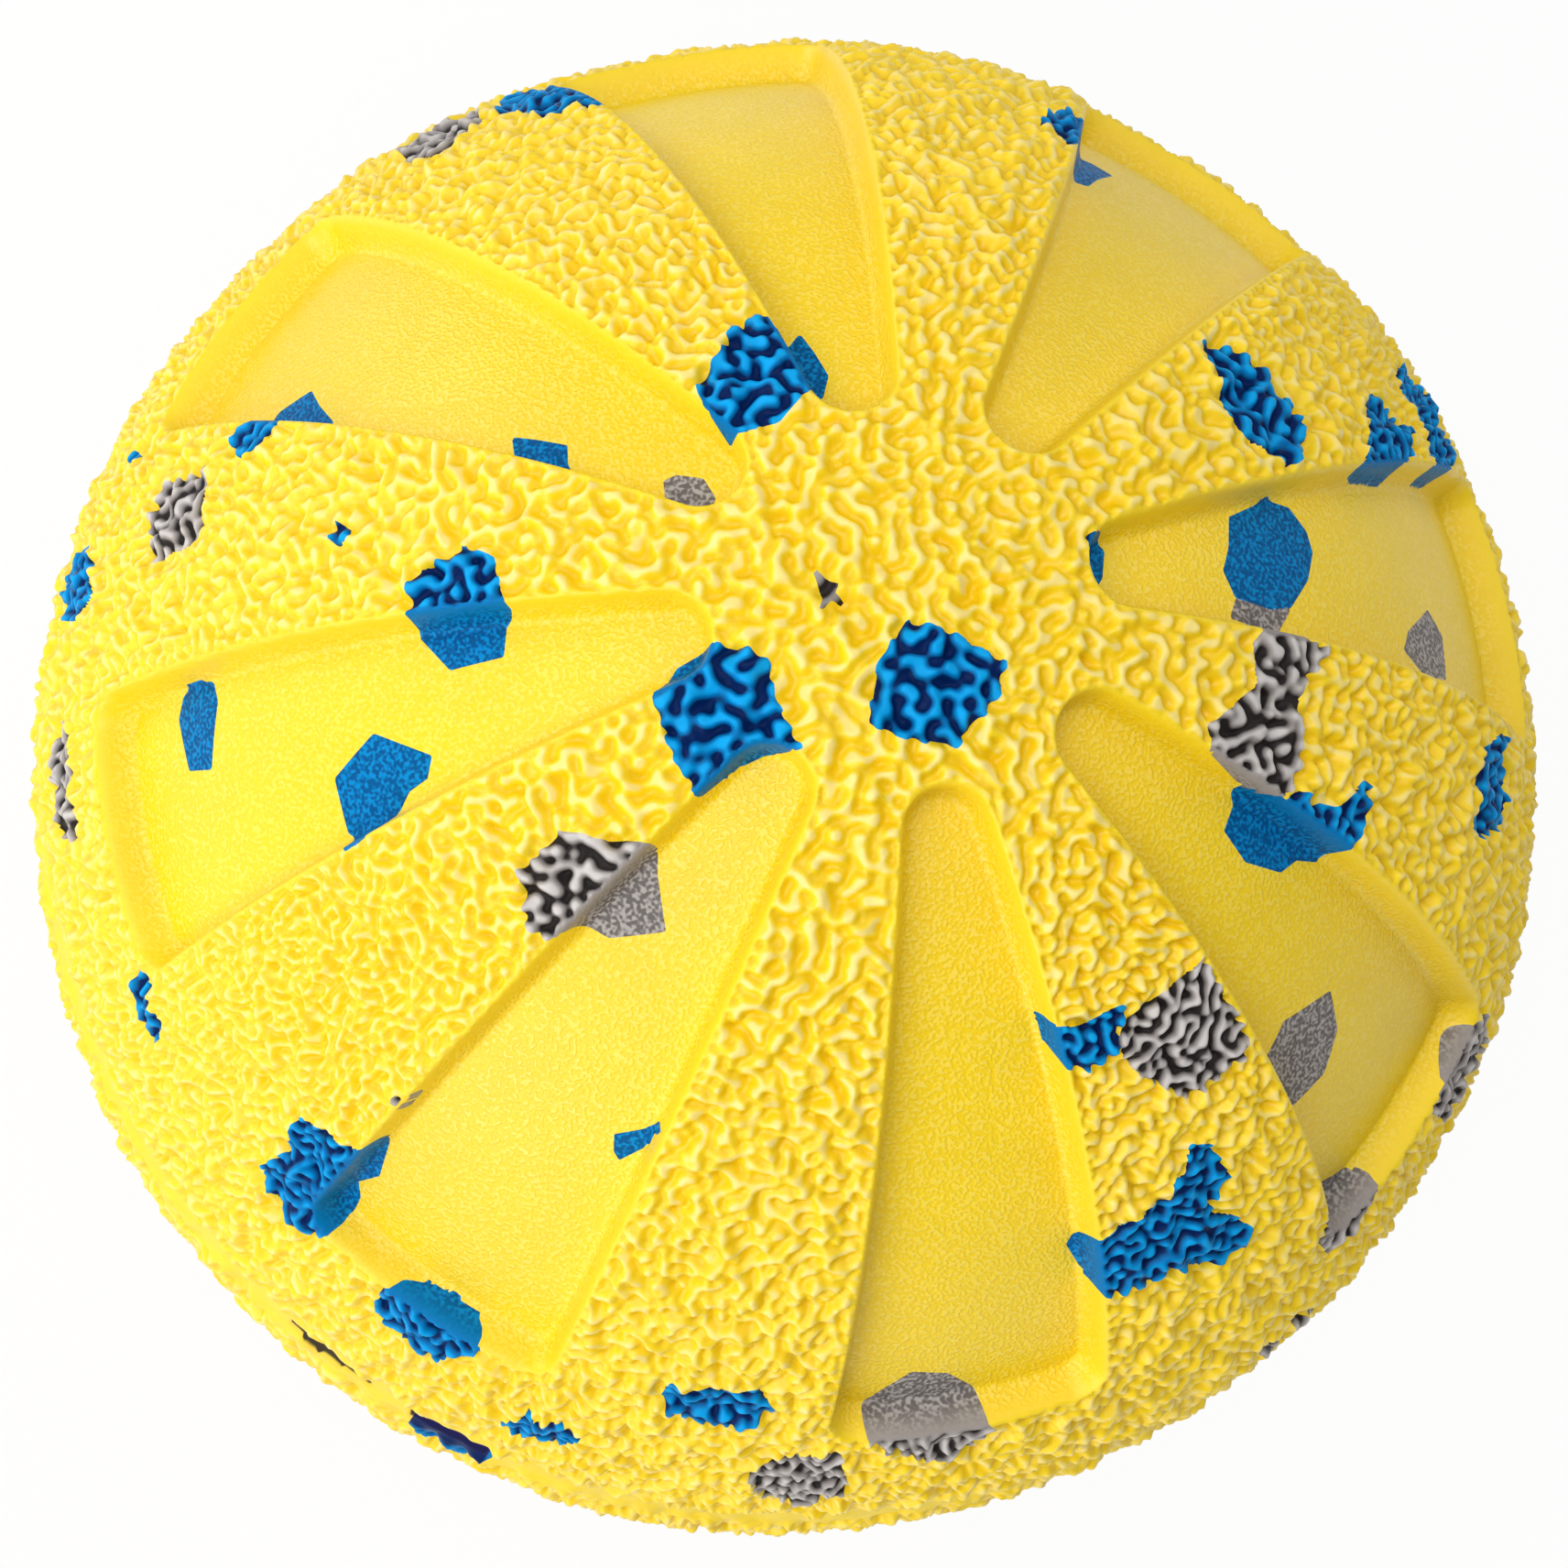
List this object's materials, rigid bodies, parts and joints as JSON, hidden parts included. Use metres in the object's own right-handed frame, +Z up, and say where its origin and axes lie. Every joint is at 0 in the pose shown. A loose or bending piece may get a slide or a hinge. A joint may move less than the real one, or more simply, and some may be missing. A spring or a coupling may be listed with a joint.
{
  "type": "foam dog ball",
  "caption": "Moulded foam fetch ball with raised textured ribs between recessed panels, a groove round its seam, and coloured foam flakes set flush in its skin.",
  "frame": {"origin": "centre of the ball, on its seam plane", "axes": "+Z up through the poles of the panel pattern, the rest patch at -Z; +X through the middle of a panel"},
  "size_m": [0.0796, 0.0796, 0.0799],
  "materials": {
    "yellow_foam": "closed-cell foam, satin, moulded ridges and grain",
    "blue_foam": "closed-cell foam, satin, moulded ridges and grain",
    "grey_foam": "closed-cell foam, satin, moulded ridges and grain"
  },
  "bodies": {
    "root": {"blue_flake_01": "blue_foam", "blue_flake_02": "blue_foam", "blue_flake_03": "blue_foam", "blue_flake_04": "blue_foam", "blue_flake_05": "blue_foam", "blue_flake_06": "blue_foam", "blue_flake_07": "blue_foam", "blue_flake_08": "blue_foam", "blue_flake_09": "blue_foam", "blue_flake_10": "blue_foam", "blue_flake_11": "blue_foam", "blue_flake_12": "blue_foam", "blue_flake_13": "blue_foam", "blue_flake_14": "blue_foam", "blue_flake_15": "blue_foam", "blue_flake_16": "blue_foam", "blue_flake_17": "blue_foam", "blue_flake_18": "blue_foam", "blue_flake_19": "blue_foam", "blue_flake_20": "blue_foam", "blue_flake_21": "blue_foam", "blue_flake_22": "blue_foam", "blue_flake_23": "blue_foam", "blue_flake_24": "blue_foam", "blue_flake_25": "blue_foam", "blue_flake_26": "blue_foam", "blue_flake_27": "blue_foam", "blue_flake_28": "blue_foam", "blue_flake_29": "blue_foam", "blue_flake_30": "blue_foam", "blue_flake_31": "blue_foam", "blue_flake_32": "blue_foam", "blue_flake_33": "blue_foam", "blue_flake_34": "blue_foam", "blue_flake_35": "blue_foam", "blue_flake_36": "blue_foam", "blue_flake_37": "blue_foam", "grey_flake_01": "grey_foam", "grey_flake_02": "grey_foam", "grey_flake_03": "grey_foam", "grey_flake_04": "grey_foam", "grey_flake_05": "grey_foam", "grey_flake_06": "grey_foam", "grey_flake_07": "grey_foam", "grey_flake_08": "grey_foam", "grey_flake_09": "grey_foam", "grey_flake_10": "grey_foam", "grey_flake_11": "grey_foam", "grey_flake_12": "grey_foam", "grey_flake_13": "grey_foam", "grey_flake_14": "grey_foam", "grey_flake_15": "grey_foam", "grey_flake_16": "grey_foam", "grey_flake_17": "grey_foam", "grey_flake_18": "grey_foam", "grey_flake_19": "grey_foam", "grey_flake_20": "grey_foam", "grey_flake_21": "grey_foam", "lower_half": "yellow_foam", "upper_half": "yellow_foam"}
  },
  "joints": []
}
